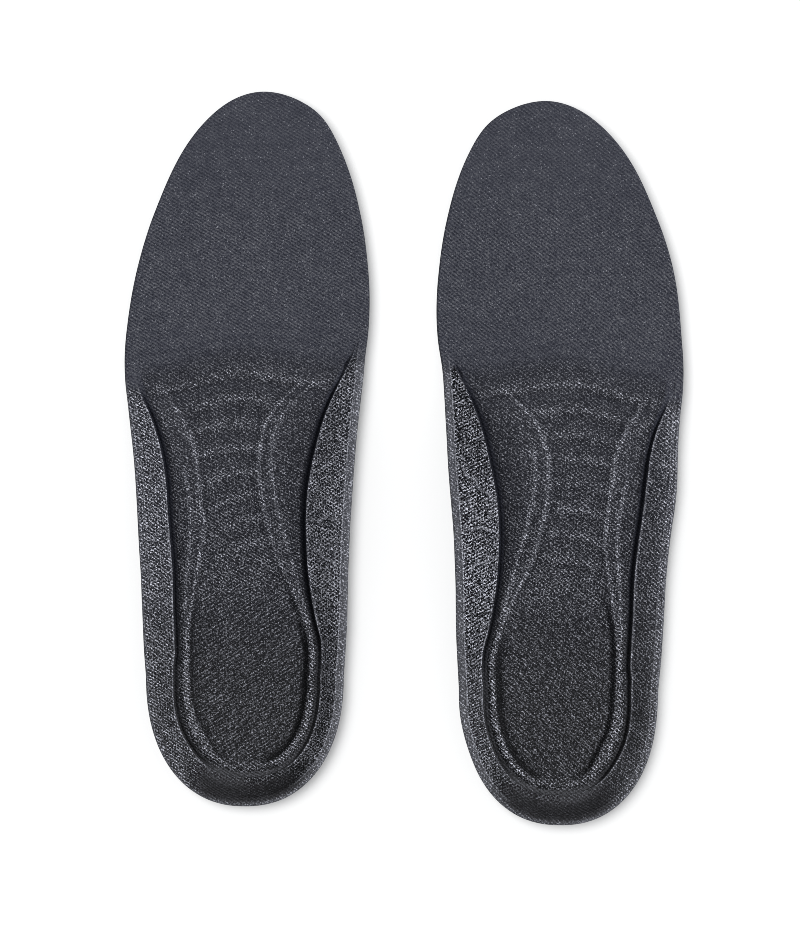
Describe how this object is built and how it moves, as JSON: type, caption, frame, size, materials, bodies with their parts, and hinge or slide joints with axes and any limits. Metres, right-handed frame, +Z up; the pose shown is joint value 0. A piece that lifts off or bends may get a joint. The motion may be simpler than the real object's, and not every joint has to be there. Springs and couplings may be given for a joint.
{
  "type": "cushioned insole",
  "caption": "Pair of full-length cushioned shoe insoles with a cupped heel, raised arch flange, ribbed footbed and thin flexible forefoot.",
  "frame": {"origin": "on the resting plane, in the middle of the pair", "axes": "+Z up out of the footbeds, +Y from heel to toe, +X from the left insole to the right insole"},
  "size_m": [0.2108, 0.2756, 0.022],
  "materials": {
    "top_cloth": "fine hexagonal mesh knit, matte with small sparkles",
    "soft_foam": "matte closed-cell foam",
    "firm_foam": "matte moulded foam",
    "pad_gel": "satin elastic gel"
  },
  "bodies": {
    "left_rear": {"left_top_cover_rear": "top_cloth", "left_cushion_rear": "soft_foam", "left_support_base": "firm_foam", "left_heel_pad": "pad_gel"},
    "left_forefoot": {"left_top_cover_forefoot": "top_cloth", "left_cushion_forefoot": "soft_foam"},
    "right_rear": {"right_top_cover_rear": "top_cloth", "right_cushion_rear": "soft_foam", "right_support_base": "firm_foam", "right_heel_pad": "pad_gel"},
    "right_forefoot": {"right_top_cover_forefoot": "top_cloth", "right_cushion_forefoot": "soft_foam"}
  },
  "joints": [
    {"name": "left_ball_flex", "type": "hinge", "parent": "left_rear", "child": "left_forefoot", "pos_m": [-0.0594, 0.05346, 0.0052], "axis": [0.9746, 0.2238, 0], "range_deg": [0, 50], "stiffness_Nm_per_rad": 0.01},
    {"name": "right_ball_flex", "type": "hinge", "parent": "right_rear", "child": "right_forefoot", "pos_m": [0.05985, 0.04863, 0.0052], "axis": [0.9729, -0.2311, 0], "range_deg": [0, 50], "stiffness_Nm_per_rad": 0.01},
    {"name": "right_insole_lift", "type": "slide", "parent": "left_rear", "child": "right_rear", "axis": [0, 0, 1], "range_m": [0, 0.1]}
  ]
}
